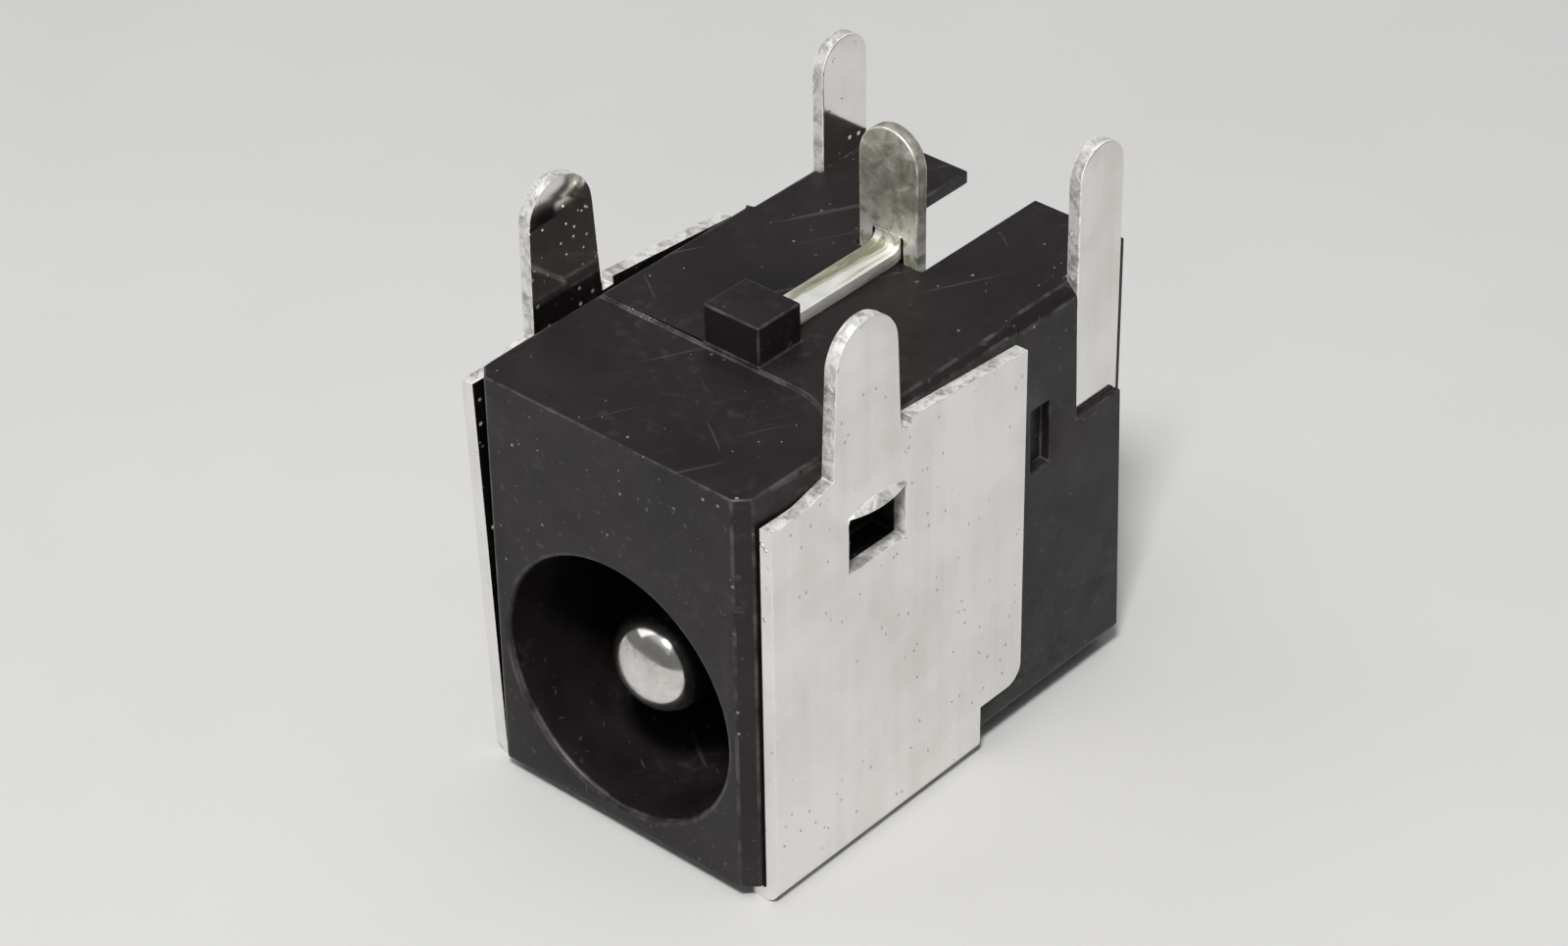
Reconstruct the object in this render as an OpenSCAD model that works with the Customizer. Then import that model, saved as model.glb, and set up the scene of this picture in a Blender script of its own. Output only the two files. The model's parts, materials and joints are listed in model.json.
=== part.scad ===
// DC barrel jack for through-hole boards: moulded housing in a folded sheet shell.
// Frame: X across the jack, Y from the plug end to the rear, Z up towards the board.
// Z = 0 is the outer face of the shell web, Y = 0 the front edge of the shell.

/* [Shell] */
// Outside width over both shell sides at the web
shell_w = 9.0; // [8.6:0.1:9.6]
// Sheet thickness of the shell
shell_t = 0.35; // [0.3:0.05:0.4]
// Height of the shell sides at the plug end
shell_h = 10.45; // [10.2:0.05:10.8]
// Length of the shell sides
shell_len = 8.8; // [8.4:0.1:8.9]
// Length of the shell web
web_len = 7.3; // [6.8:0.1:7.5]
// Outward lean of the left shell side, in degrees
left_lean = 2.2; // [0:0.1:3]
// Outside radius of the two folds along the web
fold_r = 0.42; // [0.41:0.01:0.6]

/* [Solder legs] */
// Width of a front leg at its root
front_leg_w = 2.3; // [1.9:0.1:2.4]
// Height of the front leg tips above the web
front_leg_top = 14.4; // [13.6:0.1:15]
// Start of the front legs behind the plug end
front_leg_y = 2.05; // [1.9:0.05:2.3]
// Width of a rear leg
rear_leg_w = 1.6; // [1.2:0.1:1.7]
// Height of the rear leg tips above the web
rear_leg_top = 14.6; // [13.6:0.1:15.2]
// Start of the rear legs behind the plug end
rear_leg_y = 11.2; // [11:0.05:11.3]
// Width of the centre solder tab
tab_w = 1.75; // [1.5:0.05:1.9]
// Height of the centre solder tab above the web
tab_top = 14.7; // [13.8:0.1:15.2]

/* [Housing] */
// Height of the board face of the housing above the web
board_face_z = 11.28; // [11.1:0.02:11.6]
// How far the housing stands out in front of the shell
proud = 0.4; // [0.2:0.05:0.8]
// Rear end of the housing
housing_rear = 13.4; // [13.2:0.1:13.8]
// Depth of the step across the board face
face_step = 0.08; // [0.04:0.02:0.2]

/* [Socket] */
// Bore that takes the plug barrel
bore_d = 6.8; // [6.2:0.1:6.9]
// Height of the socket axis above the web
axis_z = 4.2; // [4.1:0.05:4.3]
// Centre pin diameter
pin_d = 2.5; // [1.6:0.05:2.6]
// Start of the pin tip behind the plug end
pin_tip_y = 0.25; // [0:0.05:1.5]
// Depth of the bore behind the plug end
bore_end = 8.2; // [7.9:0.1:8.3]

/* [Contacts] */
// Sheet thickness of the terminal and the sleeve contacts
contact_t = 0.35; // [0.25:0.05:0.4]
// Width of the sleeve contact springs
spring_w = 2.2; // [1.6:0.1:2.4]
// Distance of the spring crests from the socket axis
crest_x = 2.65; // [2.55:0.05:2.8]
// Width of the tongue bent out of the centre terminal
tongue_w = 0.8; // [0.5:0.05:0.9]

/* [Hidden] */
$fn = 64;
eps = 0.01;      // overlap that makes a cut pass cleanly through a face
slit = 0.03;     // clearance beside the tongue where it is cut free
run_fit = 0.05;  // radial clearance of the pin shank in the holes it passes

half = shell_w / 2;
body_half = half - shell_t;   // the shell sides lie against the housing sides
fold_in = fold_r - shell_t;

// shell outline
notch_h = 1.4;                // the web stops short, the sides carry on above this height
root_rise = 0.25;             // the top edge of the sides rises towards the front legs,
crest_rise = 0.63;            // is highest just behind them
heel_rise = 0.33;             // and falls to the rear end
crest_h = shell_h + crest_rise;
leg_end = front_leg_y + front_leg_w;
relief = 0.22;                // relief nick behind each front leg
relief_len = 0.35;
tip_r = 1.05;                 // rounding of the front leg tips
tip_lean = 0.12;              // the front legs narrow towards their tips
heel_r = 0.5;                 // rounded lower rear corner of the sides

// window in each shell side, with a lance that hooks in the housing and a lip turned out above it
window_y = 2.55;
window_len = 1.95;
window_z = 7.95;
window_h = 1.5;
lance_h = 1.05;
lance_gap = 0.1;              // open below the lance
lance_len = 0.95;
lance_turn = 38;              // inward turn of the lance, in degrees
lip_rise = 0.2;               // start of the lip above the window
lip_out = 0.21;               // reach of the lip; it turns out by 45 degrees

// housing
base_z = shell_t;             // the housing rests on the shell web
front_y = -proud;
corner_cut = 0.34;            // upright chamfers at the two front corners
lead_in = 0.1;                // the housing narrows a little at the plug end
lead_len = 1.9;
edge_cut = 0.18;              // chamfer along the side edges of the board face
rear_edge_cut = 0.3;
step_y = 3.7;                 // line of the step across the board face
step_run = 1.9;               // straight part of the step right of the middle
step_r = 2.3;                 // the step then sweeps forward to the right side
hook_clear = 0.15;            // room in front of the hooked lance
stop_gap = 0.05;              // clearance where the shell meets the wider rear of the housing
rear_y = shell_len + stop_gap;
foot_y = web_len + stop_gap;
rear_half = half - 0.1;       // half width of the rear at its foot; it narrows upwards by its draft
foot_cut = 0.37;              // chamfer along the foot of the rear
skin_end = 12.75;             // rear end of the walls outside the rear legs
ledge_z = 7.6;                // top of those walls
seat_wall = 0.45;             // thickness of the walls outside the rear legs
core_half = body_half - seat_wall;
core_inner = 2.9;
seat_y = rear_leg_y - 0.12;   // front wall of the rear leg seats
wall_rear = 9.2;              // rear face of the wall behind the bore
cavity_z = 1.5;
arm_t = 0.35;                 // thickness of the two arms beside the rear slot
slot_half = tab_w / 2 + 0.15;
mouth_cut = 0.08;             // chamfer at the mouth of the bore
nook_y = 9.35;
nook_len = 0.7;
nook_z = 6.95;
nook_h = 1.7;
nook_reach = body_half - 0.2; // bottom of the nook

// post that holds the tongue
post_w = 1.66;
post_y = 3.75;
post_len = 1.45;
post_h = 1.02;
tongue_hold = 0.6;

// sleeve contacts
contact_out = core_half + contact_t;
spring_z = axis_z - spring_w / 2;
spring_root = rear_y;
crest_y = 6.1;
spring_tip_y = 4.5;
spring_tip_out = 0.75;        // the free end lifts away from the plug again
spring_win_y = 4.2;
crest_flat = 0.25;

// centre terminal and pin
bend_in = 0.3;                // inside radius where the tongue turns up into the tab
lug_r = 1.4;
shank_d = 1.5;
rivet_d = 2.2;
rivet_h = 0.4;
tip_round = 0.55;             // rounding round the edge of the pin tip
crown_r = 2.2;                // low crown across the pin tip
tongue_win_z = 6.9;

// upright plate with its outline in the Y-Z plane, from x0 towards +X
module side_plate(x0, t) translate([x0, 0, 0]) rotate([90, 0, 90]) linear_extrude(t) children();
// bar along Y with its outline in the X-Z plane
module bar_y(y0, len) translate([0, y0 + len, 0]) rotate([90, 0, 0]) linear_extrude(len) children();
// block between two heights with its outline in the X-Y plane
module slab(z0, z1) translate([0, 0, z0]) linear_extrude(z1 - z0) children();
module both() { children(); mirror([1, 0, 0]) children(); }
module box(x0, x1, y0, y1, z0, z1) translate([x0, y0, z0]) cube([x1 - x0, y1 - y0, z1 - z0]);

// ---- shell ----
module leg_outline() {
  union() {
    polygon([[front_leg_y, notch_h + fold_r], [leg_end, notch_h + fold_r],
             [leg_end, shell_h], [leg_end - tip_lean, front_leg_top - tip_r],
             [front_leg_y + tip_lean, front_leg_top - tip_r], [front_leg_y, shell_h]]);
    translate([front_leg_y + front_leg_w / 2, front_leg_top - tip_r])
      scale((front_leg_w / 2 - tip_lean) / tip_r) circle(tip_r);
  }
}
module side_outline() {
  difference() {
    union() {
      polygon([[0, fold_r], [web_len, fold_r], [web_len, notch_h], [shell_len - heel_r, notch_h],
               [shell_len, notch_h + heel_r], [shell_len, shell_h + heel_rise], [leg_end + relief_len, crest_h],
               [front_leg_y + front_leg_w / 2, crest_h], [front_leg_y, shell_h + root_rise],
               [front_leg_y / 2, shell_h], [0, shell_h]]);
      translate([shell_len - heel_r, notch_h + heel_r]) circle(heel_r);
      leg_outline();
    }
    translate([leg_end, crest_h - relief]) square([relief_len, 2 * relief]);
    translate([window_y, window_z]) square([window_len, window_h]);
  }
}
module lance() {
  translate([half, window_y, 0]) rotate([0, 0, lance_turn])
    side_plate(-shell_t, shell_t)
      translate([-eps, window_z + lance_gap]) square([lance_len, lance_h]);
}
module lip() {
  top = window_z + window_h + lip_rise;
  across = shell_t / sqrt(2);  // the sheet's thickness along X and Z where it slopes
  bar_y(window_y - eps, window_len + 2 * eps)
    polygon([[half - eps, top], [half, top], [half + lip_out, top - lip_out],
             [half + lip_out - across, top - lip_out - across],
             [body_half, top - 2 * across + shell_t], [body_half, top - eps]]);
}
// one side with its fold; the fold axis is where the side turns up from the web
module shell_side(lean) {
  translate([half - fold_r, 0, fold_r]) {
    rotate([0, lean, 0]) translate([fold_r - half, 0, -fold_r]) {
      side_plate(body_half, shell_t) side_outline();
      lance();
      lip();
    }
    bar_y(0, web_len) intersection() {
      difference() { circle(fold_r); circle(fold_in); }
      polygon([[0, 0], [0, -half], [half, -half], [half, 0], [half, -half * tan(lean)]]);
    }
  }
}
module shell() {
  color("silver") union() {
    box(fold_r - half, half - fold_r, 0, web_len, 0, shell_t);
    shell_side(0);
    mirror([1, 0, 0]) shell_side(left_lean);
  }
}

// ---- housing ----
module plan(reach, y1) {
  polygon([[corner_cut - reach + lead_in, front_y], [reach - lead_in - corner_cut, front_y],
           [reach - lead_in, front_y + corner_cut], [reach, lead_len], [reach, y1],
           [-reach, y1], [-reach, lead_len], [lead_in - reach, front_y + corner_cut]]);
}
module rear_section() {
  polygon([[0, base_z], [rear_half - foot_cut, base_z], [rear_half, base_z + foot_cut],
           [body_half, board_face_z - rear_edge_cut], [body_half - rear_edge_cut, board_face_z],
           [0, board_face_z]]);
}
module edge_trim(cut, y0, y1) {
  bar_y(y0, y1 - y0) polygon([[body_half + eps, board_face_z + eps], [body_half - cut - eps, board_face_z + eps],
                              [body_half + eps, board_face_z - cut - eps]]);
}
module step_outline() {
  difference() {
    polygon([[-half, front_y - proud], [half, front_y - proud], [half, step_y], [-half, step_y]]);
    difference() {
      translate([step_run, step_y - step_r]) square([half, step_r]);
      translate([step_run, step_y - step_r]) circle(step_r);
    }
  }
}
module bore_shape(d, y0, y1) translate([0, y0, axis_z]) rotate([-90, 0, 0]) cylinder(h = y1 - y0, d = d);
module leg_seat() {
  // seat of a rear leg: open to the rear and upwards, with an outer wall up to the ledge
  box(core_half, contact_out, seat_y, housing_rear + eps, spring_z, board_face_z + eps);
  box(core_half, half, seat_y, housing_rear + eps, ledge_z, board_face_z + eps);
  box(core_half, half, skin_end, housing_rear + eps, base_z - eps, board_face_z + eps);
  // channel that leads the contact forward, then the window to the bore
  box(core_half, contact_out, rear_y - eps, seat_y + eps, spring_z, spring_z + spring_w);
  box(crest_x - contact_t, half, spring_win_y, rear_y, spring_z, spring_z + spring_w);
}
module housing() {
  color("dimgray") difference() {
    union() {
      slab(base_z, board_face_z) plan(body_half, rear_y + eps);
      both() bar_y(rear_y, skin_end - rear_y) rear_section();
      both() bar_y(foot_y, rear_y + eps - foot_y) intersection() {
        rear_section();
        square([half, notch_h - stop_gap]);
      }
      box(-core_half, core_half, rear_y, housing_rear, base_z, board_face_z);
      box(-post_w / 2, post_w / 2, post_y, post_y + post_len, board_face_z - eps, board_face_z + post_h);
    }
    // step across the board face and chamfers along its side edges
    difference() {
      slab(board_face_z - face_step, board_face_z + face_step) step_outline();
      box(-post_w / 2, post_w / 2, post_y, post_y + post_len, 0, board_face_z + post_h);
    }
    both() edge_trim(edge_cut, front_y - eps, rear_y);
    // lower corners clear the folds of the shell
    both() bar_y(front_y - eps, foot_y - front_y)
      polygon([[body_half + eps, base_z - eps], [body_half - fold_in - 2 * eps, base_z - eps],
               [body_half + eps, base_z + fold_in + 2 * eps]]);
    // socket
    bore_shape(bore_d, front_y - eps, bore_end);
    translate([0, front_y - eps, axis_z]) rotate([-90, 0, 0])
      cylinder(h = mouth_cut + eps, d1 = bore_d + 2 * (mouth_cut + eps), d2 = bore_d);
    bore_shape(shank_d + 2 * run_fit, bore_end - eps, wall_rear + eps);
    // rear chamber and the slot above it
    box(-core_inner, core_inner, wall_rear, housing_rear + eps, cavity_z, board_face_z - arm_t);
    box(-slot_half, slot_half, wall_rear, housing_rear + eps, cavity_z, board_face_z + eps);
    // hold for the tongue
    box(-tongue_w / 2, tongue_w / 2, post_y + post_len - tongue_hold, post_y + post_len + eps,
        board_face_z, board_face_z + contact_t);
    both() {
      leg_seat();
      // pocket behind the lance, and the nook behind the shell side
      box(body_half - 2 * contact_t, half, window_y - hook_clear, window_y + window_len + run_fit,
          window_z - run_fit, window_z + window_h + run_fit);
      box(nook_reach, half, nook_y, nook_y + nook_len, nook_z, nook_z + nook_h);
    }
  }
}

// ---- pin ----
module centre_pin() {
  color("gainsboro") translate([0, pin_tip_y, axis_z]) rotate([-90, 0, 0])
    rotate_extrude() union() {
      // shaft with a rounded edge and a low crown at its tip
      intersection() {
        union() {
          square([pin_d / 2 - tip_round, 2 * tip_round]);
          translate([pin_d / 2 - tip_round, tip_round]) circle(tip_round);
          translate([0, tip_round]) square([pin_d / 2, bore_end - pin_tip_y - tip_round]);
        }
        union() {
          translate([0, crown_r]) circle(crown_r);
          translate([0, crown_r]) square([pin_d, bore_end]);
        }
        square([pin_d, bore_end - pin_tip_y]);
      }
      square([shank_d / 2, wall_rear + contact_t + rivet_h - pin_tip_y]);
      translate([0, wall_rear + contact_t - pin_tip_y]) square([rivet_d / 2, rivet_h]);
    }
}

// ---- centre terminal ----
module terminal_outline() {
  difference() {
    union() {
      translate([-tab_w / 2, axis_z]) square([tab_w, tab_top - tab_w / 2 - axis_z]);
      translate([0, tab_top - tab_w / 2]) circle(tab_w / 2);
      translate([0, axis_z]) circle(lug_r);
    }
    translate([0, axis_z]) circle(shank_d / 2 + run_fit);
    translate([-tongue_w / 2 - slit, tongue_win_z])
      square([tongue_w + 2 * slit, board_face_z + contact_t + bend_in - tongue_win_z]);
  }
}
module tongue_outline() {
  // side view of the tongue: flat run on the board face, then the bend up into the tab
  start = post_y + post_len - tongue_hold;
  bend_y = wall_rear - bend_in;
  bend_z = board_face_z + contact_t + bend_in;
  translate([start, board_face_z]) square([bend_y - start, contact_t]);
  translate([bend_y, bend_z]) intersection() {
    difference() { circle(bend_in + contact_t); circle(bend_in); }
    translate([0, -2 * bend_z]) square(2 * bend_z);
  }
  translate([wall_rear, bend_z]) square([contact_t, slit]);
}
module centre_terminal() {
  color("darkkhaki") union() {
    bar_y(wall_rear, contact_t) terminal_outline();
    side_plate(-tongue_w / 2, tongue_w) tongue_outline();
  }
}

// ---- sleeve contacts ----
module contact_outline() {
  leg_end_y = rear_leg_y + rear_leg_w;
  translate([spring_root, spring_z]) square([leg_end_y - spring_root, spring_w]);
  translate([rear_leg_y, spring_z]) square([rear_leg_w, rear_leg_top - rear_leg_w / 2 - spring_z]);
  translate([rear_leg_y + rear_leg_w / 2, rear_leg_top - rear_leg_w / 2]) circle(rear_leg_w / 2);
}
module spring_outline() {
  // plan of the bent spring: root, crest towards the plug, free end
  polygon([[core_half, spring_root + eps], [contact_out, spring_root + eps],
           [contact_out, spring_root - contact_t],
           [crest_x + contact_t, crest_y + crest_flat], [crest_x + contact_t, crest_y - crest_flat],
           [crest_x + contact_t + spring_tip_out, spring_tip_y], [crest_x + spring_tip_out, spring_tip_y],
           [crest_x, crest_y - crest_flat], [crest_x, crest_y + crest_flat],
           [core_half, spring_root - contact_t]]);
}
module sleeve_contact() {
  side_plate(core_half, contact_t) contact_outline();
  slab(spring_z, spring_z + spring_w) spring_outline();
}
module sleeve_contact_right() color("lightgray") union() sleeve_contact();
module sleeve_contact_left() color("lightgray") mirror([1, 0, 0]) sleeve_contact();

housing();
shell();
centre_pin();
centre_terminal();
sleeve_contact_left();
sleeve_contact_right();
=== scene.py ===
"""Looks of the DC barrel jack: black moulded housing, bright tinned shell, plated pin and contacts."""
import json
import math

import bmesh
import bpy
from mathutils import Matrix, Vector


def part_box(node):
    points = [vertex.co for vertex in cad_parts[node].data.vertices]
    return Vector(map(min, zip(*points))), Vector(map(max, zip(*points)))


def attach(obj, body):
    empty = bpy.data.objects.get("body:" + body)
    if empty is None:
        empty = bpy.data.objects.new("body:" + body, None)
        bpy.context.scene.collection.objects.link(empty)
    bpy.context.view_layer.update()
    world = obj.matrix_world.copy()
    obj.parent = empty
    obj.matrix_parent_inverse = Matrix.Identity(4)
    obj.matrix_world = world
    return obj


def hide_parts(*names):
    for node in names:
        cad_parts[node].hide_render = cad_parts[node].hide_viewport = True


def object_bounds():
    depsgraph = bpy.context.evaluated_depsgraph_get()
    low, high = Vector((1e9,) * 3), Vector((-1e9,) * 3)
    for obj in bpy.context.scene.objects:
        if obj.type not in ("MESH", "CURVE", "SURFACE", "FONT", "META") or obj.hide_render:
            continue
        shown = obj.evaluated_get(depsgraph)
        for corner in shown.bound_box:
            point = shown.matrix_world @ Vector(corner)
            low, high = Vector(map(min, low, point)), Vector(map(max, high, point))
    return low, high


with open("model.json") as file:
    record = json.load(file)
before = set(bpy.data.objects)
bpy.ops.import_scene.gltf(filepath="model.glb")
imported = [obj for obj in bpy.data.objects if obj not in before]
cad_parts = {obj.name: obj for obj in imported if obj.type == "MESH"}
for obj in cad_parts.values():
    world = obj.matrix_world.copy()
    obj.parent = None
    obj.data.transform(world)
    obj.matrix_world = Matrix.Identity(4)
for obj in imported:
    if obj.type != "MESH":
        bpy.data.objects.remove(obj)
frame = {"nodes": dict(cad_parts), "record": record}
CAD_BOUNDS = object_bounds()
MM = 0.001


# ---- node helpers ----
class Shader:
    """A small builder for one procedural material. Pattern scales are counts per metre."""

    def __init__(self, name):
        self.material = bpy.data.materials.new(name)
        self.material.use_nodes = True
        self.tree = self.material.node_tree
        self.tree.nodes.clear()
        self.output = self.node("ShaderNodeOutputMaterial")
        self.surface = self.node("ShaderNodeBsdfPrincipled")
        self.link(self.surface, "BSDF", self.output, "Surface")
        self.place = self.node("ShaderNodeTexCoord")

    def node(self, kind, **values):
        """New node; each value goes to its property, or else to its socket, of that name."""
        made = self.tree.nodes.new(kind)
        for key, value in values.items():
            if hasattr(made, key):
                setattr(made, key, value)
            else:
                made.inputs[key].default_value = value
        return made

    def link(self, source, out, target, into):
        self.tree.links.new(source.outputs[out], target.inputs[into])

    def set(self, **values):
        for key, value in values.items():
            self.surface.inputs[key.replace("_", " ")].default_value = value

    def noise(self, scale, detail=4.0, rough=0.55, stretch=(1, 1, 1), twist=0.0):
        """Noise; stretch scales the coordinates, so that the pattern can run long in one direction."""
        mapping = self.node("ShaderNodeMapping", vector_type="POINT")
        mapping.inputs["Scale"].default_value = stretch
        self.link(self.place, "Object", mapping, "Vector")
        made = self.node("ShaderNodeTexNoise", Scale=scale, Detail=detail, Roughness=rough, Distortion=twist)
        self.link(mapping, "Vector", made, "Vector")
        return made

    def ramp(self, source, stops, interpolation="LINEAR"):
        """Colour ramp; stops are (position, grey or colour)."""
        made = self.node("ShaderNodeValToRGB")
        ramp = made.color_ramp
        ramp.interpolation = interpolation
        while len(ramp.elements) < len(stops):
            ramp.elements.new(0.5)
        for element, (position, value) in zip(ramp.elements, stops):
            element.position = position
            element.color = (*value, 1) if isinstance(value, tuple) else (value, value, value, 1)
        self.link(source, 0, made, "Fac")
        return made

    def mix(self, factor, first, second):
        """Colour mix of two nodes or colours by a grey node."""
        made = self.node("ShaderNodeMix", data_type="RGBA")
        self.tree.links.new(factor.outputs[0], made.inputs["Factor"])
        for side, value in (("A", first), ("B", second)):
            into = [i for i in made.inputs if i.name == side and i.type == "RGBA"][0]
            if isinstance(value, tuple):
                into.default_value = (*value, 1)
            else:
                self.tree.links.new(self.colour_out(value), into)
        return made

    def colour_out(self, source):
        return [o for o in source.outputs if o.enabled and o.type == "RGBA"][0]

    def math(self, kind, first, second):
        """Sum, product and so on of two values, each a grey node or a number."""
        made = self.node("ShaderNodeMath", operation=kind)
        for index, value in enumerate((first, second)):
            if isinstance(value, (int, float)):
                made.inputs[index].default_value = value
            else:
                self.tree.links.new(value.outputs[0], made.inputs[index])
        return made

    def mask(self, layer):
        """Grey value kept on the mesh's faces."""
        made = self.node("ShaderNodeAttribute", attribute_name=layer)
        grey = self.node("ShaderNodeMath", operation="MULTIPLY")
        self.link(made, "Fac", grey, 0)
        grey.inputs[1].default_value = 1
        return grey

    def dots(self, scale, radius, share):
        """Scattered dots: radius is a share of the cell's size, share says how many cells have one."""
        cell = self.node("ShaderNodeTexVoronoi", feature="F1", Scale=scale, Randomness=1.0)
        self.link(self.place, "Object", cell, "Vector")
        chance = self.node("ShaderNodeSeparateColor")
        self.link(cell, "Color", chance, "Color")
        disc = self.ramp(cell, [(0, 1), (radius * 0.6, 1), (radius, 0)])
        some = self.ramp(chance, [(0, 0), (1 - share, 1)], "CONSTANT")
        return self.math("MULTIPLY", disc, some)

    def scratches(self, scale, angle, length, level):
        """Short thin lines that run at that angle in the X-Y plane, length times as long as they are wide."""
        mapping = self.node("ShaderNodeMapping", vector_type="TEXTURE")
        mapping.inputs["Rotation"].default_value = (0, 0, math.radians(angle))
        mapping.inputs["Scale"].default_value = (length, 1, 1)
        self.link(self.place, "Object", mapping, "Vector")
        line = self.node("ShaderNodeTexNoise", Scale=scale, Detail=1.0, Roughness=0.4)
        self.link(mapping, "Vector", line, "Vector")
        return self.ramp(line, [(level, 0), (level + 0.03, 1)])

    def colour(self, source):
        self.tree.links.new(self.colour_out(source), self.surface.inputs["Base Color"])

    def rough(self, source):
        self.tree.links.new(source.outputs[0], self.surface.inputs["Roughness"])

    def bump(self, heights):
        """Chain of bumps: (node, height in mm, strength)."""
        previous = None
        for source, height, strength in heights:
            made = self.node("ShaderNodeBump", Distance=height * MM, Strength=strength)
            self.tree.links.new(source.outputs[0], made.inputs["Height"])
            if previous:
                self.link(previous, "Normal", made, "Normal")
            previous = made
        self.link(previous, "Normal", self.surface, "Normal")


# ---- materials ----
def black_plastic():
    """Moulded black with scuffs, scratches, settled dust and rubbed edges."""
    s = Shader("black_plastic")
    s.set(IOR=1.5, Specular_IOR_Level=0.32)
    tone = s.ramp(s.noise(420, 5), [(0.3, (0.0062, 0.0048, 0.005)), (0.7, (0.0135, 0.0105, 0.0108))])
    scuff = s.math("MULTIPLY", s.ramp(s.noise(2600, 6, 0.7), [(0.52, 0), (0.72, 1)]),
                   s.ramp(s.noise(330, 3), [(0.45, 0), (0.65, 1)]))
    tone = s.mix(s.math("MULTIPLY", scuff, 0.4), tone, (0.07, 0.063, 0.062))
    rubbed = s.ramp(s.noise(1300, 5, 0.65), [(0.42, 0.06), (0.6, 1)])
    worn = s.math("MULTIPLY", s.mask("edge"), rubbed)
    tone = s.mix(s.math("MULTIPLY", worn, 0.45), tone, (0.11, 0.1, 0.096))
    lines = s.math("MAXIMUM", s.scratches(5600, 62, 30, 0.72), s.scratches(6800, -34, 22, 0.73))
    tone = s.mix(s.math("MULTIPLY", lines, 0.22), tone, (0.12, 0.11, 0.11))
    settled = s.ramp(s.noise(210, 2), [(0.42, 0), (0.6, 1)])
    grains = s.math("MAXIMUM", s.dots(2400, 0.12, 0.2), s.dots(5200, 0.15, 0.1))
    dust = s.math("MULTIPLY", grains, settled)
    tone = s.mix(s.math("MULTIPLY", dust, 0.7), tone, (0.36, 0.335, 0.32))
    s.colour(tone)
    rough = s.ramp(s.noise(900, 5, 0.6), [(0.3, 0.34), (0.7, 0.5)])
    s.rough(s.math("ADD", rough, s.math("MULTIPLY", dust, 0.4)))
    s.bump([(s.noise(160, 2), 0.03, 0.35), (s.noise(5200, 3), 0.004, 0.6),
            (dust, 0.012, 0.6), (lines, -0.006, 0.5)])
    return s.material


def tinned(name, bright, dull, rough):
    """Bright tin on rolled strip, with pits and stains, and mottled matt metal where it was sheared."""
    s = Shader(name)
    streak = s.noise(2600, 4, 0.6, (1, 1, 0.05))
    cloud = s.noise(380, 6, 0.62, twist=0.4)
    blend = s.ramp(s.math("ADD", s.math("MULTIPLY", streak, 0.3), s.math("MULTIPLY", cloud, 0.7)),
                   [(0.36, 0), (0.56, 1)])
    tone = s.mix(blend, dull, bright)

    patch = s.ramp(s.noise(230, 2), [(0.38, 0.15), (0.58, 1)])
    holes = s.math("MAXIMUM", s.dots(2500, 0.17, 0.5), s.dots(5000, 0.19, 0.3))
    pits = s.math("MULTIPLY", holes, patch)
    tone = s.mix(s.math("MULTIPLY", pits, 0.85), tone, (1.0, 0.99, 0.97))
    stain = s.math("MULTIPLY", s.dots(3100, 0.13, 0.16), patch)
    tone = s.mix(s.math("MULTIPLY", stain, 0.45), tone, (0.34, 0.32, 0.3))

    cut = s.mask("cut")
    torn = s.ramp(s.noise(2300, 6, 0.72, twist=0.6),
                  [(0.36, (0.22, 0.205, 0.19)), (0.45, (0.43, 0.415, 0.39)), (0.56, (0.7, 0.69, 0.665))])
    tone = s.mix(s.math("MULTIPLY", cut, 0.9), tone, torn)
    rubbed = s.ramp(s.noise(2100, 5, 0.7), [(0.4, 0.1), (0.56, 1)])
    worn = s.math("MULTIPLY", s.mask("edge"), rubbed)
    tone = s.mix(s.math("MULTIPLY", worn, 0.85), tone, (0.97, 0.96, 0.94))
    s.colour(tone)

    grain = s.math("ADD", s.math("MULTIPLY", streak, 0.4), s.math("MULTIPLY", s.noise(1100, 5), 0.6))
    base = s.ramp(grain, [(0.36, rough[0]), (0.62, rough[1])])
    marks = s.math("MULTIPLY", s.math("MAXIMUM", pits, stain), 0.5)
    more = s.math("ADD", marks, s.math("MULTIPLY", cut, 0.5))
    s.rough(s.math("ADD", base, s.math("ADD", more, s.math("MULTIPLY", worn, 0.2))))
    # torn and pitted metal scatters light instead of mirroring
    matt = s.math("MAXIMUM", s.math("MULTIPLY", cut, 0.6), s.math("MULTIPLY", pits, 0.8))
    s.link(s.math("SUBTRACT", 1, matt), 0, s.surface, "Metallic")
    s.bump([(s.noise(150, 2), 0.02, 0.3), (streak, 0.0012, 0.2), (pits, 0.02, 1.0), (stain, -0.02, 1.0),
            (s.math("MULTIPLY", cut, s.noise(3600, 5, 0.7)), 0.035, 0.8)])
    return s.material


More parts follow.
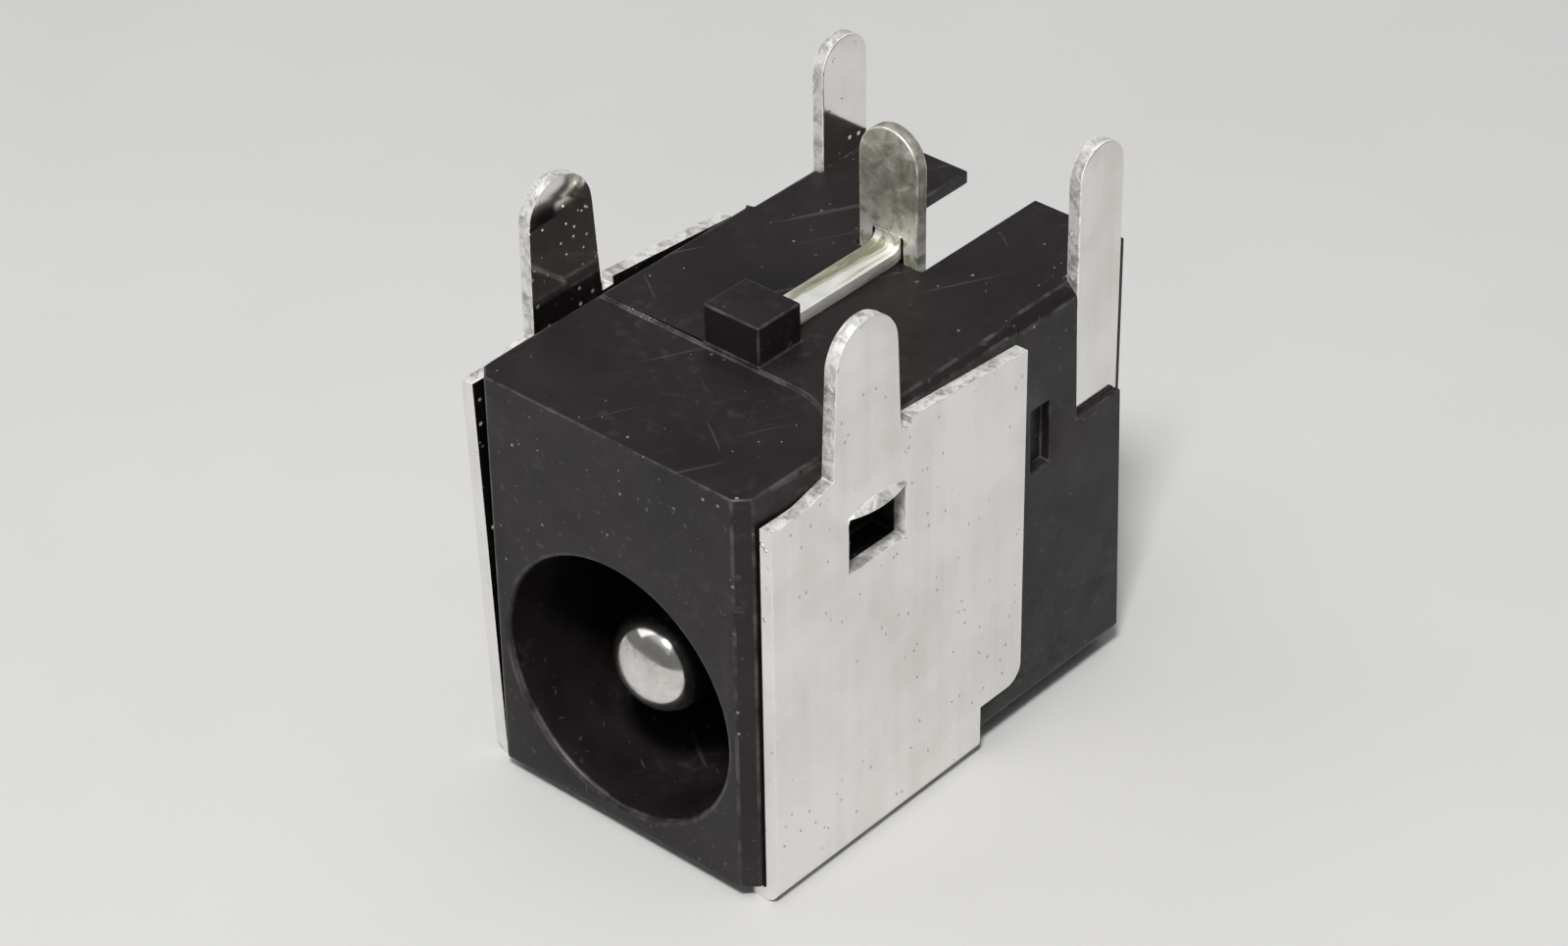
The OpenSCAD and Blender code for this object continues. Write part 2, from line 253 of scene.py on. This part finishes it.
def dull_tin():
    """Dull tin over brass, mottled on the upright tab and streaked on the flat strip below it, which is painted
    lighter as a painted highlight where it faces up.
    """
    s = Shader("dull_plated_brass")
    s.set(Metallic=0.65)
    mottle = s.noise(1900, 8, 0.72, twist=0.8)
    streak = s.noise(2400, 5, 0.62, (1, 0.1, 1), twist=0.5)
    tab = s.ramp(mottle, [(0.34, (0.22, 0.205, 0.17)), (0.46, (0.36, 0.34, 0.29)),
                          (0.56, (0.48, 0.46, 0.4)), (0.68, (0.8, 0.78, 0.73))])
    # streaks of the flat strip below the tab: its own streaked tone, running up to near white as a painted
    # highlight of the lamp on its upward face
    tongue_painted_highlight = s.ramp(streak, [(0.36, (0.3, 0.3, 0.21)), (0.44, (0.6, 0.6, 0.47)), (0.52, (0.93, 0.92, 0.87))])
    legs = next(m for m in frame["record"]["mounts"] if m["name"] == "board_legs")
    tongue_top = legs["pos_m"][2] + 0.4 * MM     # the legs' mount lies in the board face
    high = s.node("ShaderNodeSeparateXYZ")
    s.link(s.place, "Object", high, "Vector")
    level = s.node("ShaderNodeMapRange")
    s.link(high, "Z", level, "Value")
    level.inputs["From Min"].default_value = tongue_top
    level.inputs["From Max"].default_value = tongue_top + 1.2 * MM
    # painted highlight on the low, flat strip, fading into the tab's own mottle over 1.2 mm of height
    tone = s.mix(level, tongue_painted_highlight, tab)
    rubbed = s.ramp(s.noise(1900, 5, 0.7), [(0.4, 0), (0.58, 1)])
    worn = s.math("MULTIPLY", s.mask("edge"), rubbed)
    tone = s.mix(s.math("MULTIPLY", worn, 0.8), tone, (0.93, 0.92, 0.88))
    s.colour(tone)
    s.rough(s.ramp(s.noise(1300, 6, 0.65), [(0.32, 0.26), (0.68, 0.52)]))
    s.bump([(mottle, 0.02, 0.6), (s.noise(300, 2), 0.03, 0.4), (s.noise(4200, 4), 0.005, 0.5)])
    return s.material


def nickel_pin():
    """Polished plate with the fine rings of its turning."""
    s = Shader("plated_pin")
    s.set(Metallic=1.0)
    rings = s.noise(5200, 3, 0.6, (0.03, 1, 0.03))
    tone = s.ramp(s.noise(900, 5, 0.6), [(0.35, (0.6, 0.58, 0.55)), (0.6, (0.82, 0.81, 0.79))])
    rub = s.ramp(s.noise(2400, 6, 0.7), [(0.56, 0), (0.68, 1)])
    tone = s.mix(s.math("MULTIPLY", rub, 0.5), tone, (0.36, 0.34, 0.32))
    s.colour(tone)
    turned = s.ramp(rings, [(0.35, 0.12), (0.65, 0.22)])
    s.rough(s.math("ADD", turned, s.math("MULTIPLY", rub, 0.16)))
    s.bump([(rings, 0.0015, 0.3), (s.noise(2600, 4), 0.004, 0.25)])
    return s.material


# ---- pieces: sizes in mm unless said otherwise ----
WELD = 0.012                  # points closer than this are one
FLAT = math.radians(0.6)      # faces that turn by less are joined
SHARP = math.radians(24)      # edges that turn by more are rounded
MOULDED_EDGE = 0.05           # rounding of the housing's edges
SHEET_EDGE = 0.035            # rounding of the sheet pieces' edges
SHEET = 0.35                  # thickness of the sheet pieces
NARROW = 1.25 * SHEET         # a sheared side is narrower than this
FOLD_TOP = 0.6                # the shell's folds end below this height

LIP_STEPS = 14
LIP_END = 0.15                # share of the lip's form left at its ends
LIP_POWER = 0.7               # under 1, so the lens is fuller than a half wave
LIP_ROOT = 1.1                # fall of the root towards a flat end, in reaches of the lip
LIP_EDGE_RISE = 0.04          # rise of the outer edge towards a flat end
LIP_BACK_IN = 0.31            # way in and rise of the inner edge towards a flat end
LIP_BACK_RISE = 0.2
LIP_BOX = (0.4, 0.3)          # the lip's points lie this near the plate's face and the lip's outer edge

NOSE_STEPS = 20
NOSE_LENGTH = 0.72            # of the pin's radius
NOSE_POWER = 0.92             # under 1, so the nose is blunter than an ellipse
PIN_TURNS = 128
PIN_SOFT = 0.04               # rounding of the pin's steps
PIN_SHARP = math.radians(40)
SAME = 1e-6                   # metres
NEARLY = 0.98


def rounded(name, node, material, edge, sheared=False, shape=None, clamp=False):
    """Piece that stands for a CAD node: its faces cleaned, its sharp edges rounded by edge mm, or by what the
    smallest face allows if clamp is set. Two face layers: edge on the rounding, cut on sheared sides."""
    bm = bmesh.new()
    bm.from_mesh(frame["nodes"][node].data)
    bmesh.ops.remove_doubles(bm, verts=bm.verts, dist=WELD * MM)
    bmesh.ops.dissolve_degenerate(bm, dist=WELD * MM, edges=bm.edges)
    bmesh.ops.dissolve_limit(bm, angle_limit=FLAT, verts=bm.verts, edges=bm.edges)
    if shape:
        shape(bm)
    cut = bm.faces.layers.float.new("cut")
    worn = bm.faces.layers.float.new("edge")
    if sheared:
        for face in bm.faces:
            face[cut] = is_cut(face)
    sharp = [e for e in bm.edges if e.is_manifold and e.calc_face_angle(0) > SHARP]
    made = bmesh.ops.bevel(bm, geom=sharp, offset=edge * MM, offset_type="OFFSET", segments=2, profile=0.5,
                           affect="EDGES", clamp_overlap=clamp, loop_slide=True, miter_outer="ARC")
    for face in made["faces"]:
        face[worn] = 1
    bmesh.ops.triangulate(bm, faces=[f for f in bm.faces if len(f.verts) > 4])
    for face in bm.faces:
        face.smooth = True
    piece = finish_piece(bm, name, node, material)
    weighted = piece.modifiers.new("weighted", "WEIGHTED_NORMAL")
    weighted.mode = "FACE_AREA"
    weighted.weight = 90
    return piece


def is_cut(face):
    """1 for a face about as narrow as the sheet is thick, measured across its longest edge, and else 0.
    The facets of the shell's folds are as narrow, but weren't sheared, so they count as 0."""
    longest = max(face.edges, key=lambda e: e.calc_length())
    along = (longest.verts[1].co - longest.verts[0].co).normalized()
    across = face.normal.cross(along)
    reach = [v.co.dot(across) for v in face.verts]
    fold = face.calc_center_median().z < FOLD_TOP * MM and abs(face.normal.y) < 0.5
    return 1.0 if max(reach) - min(reach) < NARROW * MM and not fold else 0.0


def swell_lips(bm):
    """Turns the straight lip above each side window into a lens, full in the middle and nearly flat at its ends.
    slope is the sheet's thickness along out and up in the lip, which turns out by 45 degrees."""
    slope = SHEET * MM / math.sqrt(2)
    for side in (1, -1):
        plate = max((f for f in bm.faces if f.normal.x * side > 0.9 and f.verts[0].co.x * side > 0),
                    key=lambda f: f.calc_area())
        out, up = plate.normal.copy(), Vector((0, 1, 0)).cross(plate.normal)
        up *= 1 if up.z > 0 else -1
        level = plate.verts[0].co.dot(out)
        tips = [v.co.copy() for v in bm.verts if v.co.dot(out) > level + 0.1 * MM]
        first, last = min(t.y for t in tips), max(t.y for t in tips)
        reach, height = tips[0].dot(out) - level, tips[0].dot(up)
        for step in range(1, LIP_STEPS):
            slice_lip(bm, first + (last - first) * step / LIP_STEPS, out, up, level, height)
        for v in bm.verts:
            away, above = v.co.dot(out) - level, v.co.dot(up) - height
            share = (v.co.y - first) / (last - first)
            if not -0.001 <= share <= 1.001 or away < -LIP_BOX[0] * MM:
                continue
            wave = math.sin(math.pi * min(max(share, 0), 1)) ** LIP_POWER
            lack = LIP_END + (1 - LIP_END) * wave - 1
            if abs(away) < SAME and abs(above - reach) < SAME:              # where the lip leaves the plate
                v.co += up * (reach * LIP_ROOT * lack)
            elif abs(away - reach) < SAME and abs(above) < SAME:            # its outer edge
                v.co += (out * reach - up * LIP_EDGE_RISE * MM) * lack
            elif abs(above + slope) < 10 * SAME and abs(away - reach + slope) < 10 * SAME:   # its inner edge
                v.co += (out * LIP_BACK_IN * MM - up * LIP_BACK_RISE * MM) * lack


def slice_lip(bm, y, out, up, level, height):
    """Cuts the faces of one lip, and no others, across at y."""
    def near(v):
        return abs(v.co.dot(out) - level) < LIP_BOX[0] * MM and abs(v.co.dot(up) - height) < LIP_BOX[1] * MM

    faces = [f for f in bm.faces if min(v.co.y for v in f.verts) < y < max(v.co.y for v in f.verts)
             and all(near(v) for v in f.verts)]
    edges = {e for f in faces for e in f.edges}
    verts = {v for f in faces for v in f.verts}
    bmesh.ops.bisect_plane(bm, geom=[*faces, *edges, *verts], dist=1e-7, plane_co=(0, y, 0), plane_no=(0, 1, 0))


def pin_profile():
    """The pin's axis, and its profile as (radius, y) from tip to rivet head, read from the CAD node."""
    points = [v.co for v in frame["nodes"]["centre_pin"].data.vertices]
    lo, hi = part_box("centre_pin")
    radius, axis = (hi.x - lo.x) / 2, Vector(((lo.x + hi.x) / 2, 0, (lo.z + hi.z) / 2))
    away = [((p - axis) * Vector((1, 0, 1))).length for p in points]
    shoulder = max(p.y for p, r in zip(points, away) if r > NEARLY * radius)
    shank = min(r for p, r in zip(points, away) if shoulder - SAME < p.y < shoulder + SAME)
    head = max(r for p, r in zip(points, away) if p.y > hi.y - SAME)
    under = min(p.y for p, r in zip(points, away) if p.y > shoulder + 0.1 * MM and r > NEARLY * head)
    nose = NOSE_LENGTH * radius
    profile = []
    for step in range(NOSE_STEPS + 1):
        turn = math.pi / 2 * step / NOSE_STEPS
        depth = nose * (1 - math.cos(turn) ** NOSE_POWER)
        profile.append((radius * math.sin(turn) ** NOSE_POWER, lo.y + depth))
    soft = PIN_SOFT * MM
    profile += [(radius, shoulder - soft), (radius - soft * 0.3, shoulder - soft * 0.3),
                (radius - soft, shoulder), (shank, shoulder), (shank, under), (head - soft, under),
                (head, under + soft), (head, hi.y - 3 * soft), (head - soft, hi.y - soft),
                (head - 4 * soft, hi.y), (0, hi.y)]
    return axis, profile


def dome_pin(material):
    """The socket pin turned as one smooth profile: shaft with a rounded nose, thinner shank and rivet head."""
    axis, profile = pin_profile()
    angles = [math.tau * k / PIN_TURNS for k in range(PIN_TURNS)]
    bm = bmesh.new()
    rings = []
    for r, y in profile:
        around = angles if r > 1e-9 else [0.0]
        rings.append([bm.verts.new((axis.x + r * math.cos(a), y, axis.z + r * math.sin(a))) for a in around])
    for a, b in zip(rings, rings[1:]):
        for k in range(PIN_TURNS):
            n = (k + 1) % PIN_TURNS
            corners = [a[k % len(a)], b[k % len(b)], b[n % len(b)], a[n % len(a)]]
            bm.faces.new(list(dict.fromkeys(corners)))
    bmesh.ops.recalc_face_normals(bm, faces=bm.faces)
    for face in bm.faces:
        face.smooth = True
    for edge in bm.edges:
        edge.smooth = edge.calc_face_angle(0) < PIN_SHARP
    return finish_piece(bm, "socket_pin", "centre_pin", material)


def finish_piece(bm, name, node, material):
    mesh = bpy.data.meshes.new(name)
    bm.to_mesh(mesh)
    bm.free()
    piece = bpy.data.objects.new(name, mesh)
    bpy.context.scene.collection.objects.link(piece)
    mesh.materials.append(material)
    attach(piece, "root")
    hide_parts(node)
    return piece


rounded("moulded_housing", "housing", black_plastic(), MOULDED_EDGE)
tin = tinned("tinned_sheet", (0.88, 0.87, 0.85), (0.76, 0.75, 0.72), (0.07, 0.14))
rounded("folded_shell", "shell", tin, SHEET_EDGE, sheared=True, shape=swell_lips, clamp=True)
dome_pin(nickel_pin())
rounded("solder_tab", "centre_terminal", dull_tin(), SHEET_EDGE, sheared=True)
strip = tinned("contact_strip", (0.87, 0.86, 0.84), (0.76, 0.74, 0.71), (0.07, 0.14))
for side in ("left", "right"):
    rounded("contact_" + side, "sleeve_contact_" + side, strip, SHEET_EDGE, sheared=True)


# ---- camera ----
SENSOR, LENS = 36, 96.85                                # mm
CAMERA_AT = Vector((53.721, -54.498, 63.286)) * MM
CAMERA_TURN = (41.858, 34.896, -0.917)                  # azimuth, elevation and roll in degrees


def aim(azimuth, elevation, roll):
    a, e = math.radians(azimuth), math.radians(elevation)
    back = Vector((math.sin(a) * math.cos(e), -math.cos(a) * math.cos(e), math.sin(e)))
    right = (-back).cross(Vector((0, 0, 1))).normalized()
    up = right.cross(-back)
    turned = Matrix((right, up, back)).transposed()
    return turned @ Matrix.Rotation(math.radians(roll), 3, "Z")


camera = bpy.data.objects.new("camera", bpy.data.cameras.new("camera"))
bpy.context.scene.collection.objects.link(camera)
camera.data.sensor_width = SENSOR
camera.data.lens = LENS
camera.data.clip_start = 0.005
camera.location = CAMERA_AT
camera.rotation_mode = "QUATERNION"
camera.rotation_quaternion = aim(*CAMERA_TURN).to_quaternion()
bpy.context.scene.camera = camera


# ---- stage ----
def floor_finish():
    """Plain pale board with the faintest unevenness."""
    s = Shader("floor")
    s.set(Specular_IOR_Level=0.3)
    s.colour(s.ramp(s.noise(60, 3), [(0.3, (0.53, 0.525, 0.515)), (0.7, (0.55, 0.545, 0.535))]))
    s.rough(s.ramp(s.noise(400, 3), [(0.3, 0.55), (0.7, 0.65)]))
    return s.material


bpy.ops.mesh.primitive_plane_add(size=1.2, location=(0, 0, 0))
floor = bpy.context.object
floor.name = "floor"
floor.data.materials.append(floor_finish())


def area_light(name, azimuth, elevation, distance, size, watts):
    """Square soft light that looks at the middle of the jack; distance and size in metres."""
    lamp = bpy.data.lights.new(name, "AREA")
    lamp.energy = watts
    lamp.size = size
    made = bpy.data.objects.new(name, lamp)
    bpy.context.scene.collection.objects.link(made)
    turn = aim(azimuth, elevation, 0)
    lo, hi = CAD_BOUNDS
    made.location = (lo + hi) / 2 + turn @ Vector((0, 0, distance))
    made.rotation_mode = "QUATERNION"
    made.rotation_quaternion = turn.to_quaternion()


area_light("key", azimuth=34, elevation=58, distance=0.25, size=0.04, watts=0.6)
area_light("fill", azimuth=-60, elevation=45, distance=0.3, size=0.2, watts=0.15)

SKY = [(0.1, 0.2), (0.6, 0.2), (0.95, 0.85)]     # (sine of the height above the horizon, grey)


def studio_sky():
    """Plain room, dim at the sides and pale overhead."""
    world = bpy.data.worlds.new("world")
    bpy.context.scene.world = world
    world.use_nodes = True
    tree = world.node_tree
    tree.nodes.clear()
    output = tree.nodes.new("ShaderNodeOutputWorld")
    sky = tree.nodes.new("ShaderNodeBackground")
    place = tree.nodes.new("ShaderNodeTexCoord")
    split = tree.nodes.new("ShaderNodeSeparateXYZ")
    ramp = tree.nodes.new("ShaderNodeValToRGB")
    ramp.color_ramp.elements.new(0.5)
    for element, (position, grey) in zip(ramp.color_ramp.elements, SKY):
        element.position = position
        element.color = (grey, grey, grey * 1.01, 1)
    tree.links.new(place.outputs["Generated"], split.inputs[0])
    tree.links.new(split.outputs["Z"], ramp.inputs["Fac"])
    tree.links.new(ramp.outputs["Color"], sky.inputs["Color"])
    sky.inputs["Strength"].default_value = 1.0
    tree.links.new(sky.outputs[0], output.inputs["Surface"])


studio_sky()
bpy.context.scene.view_settings.view_transform = "Standard"
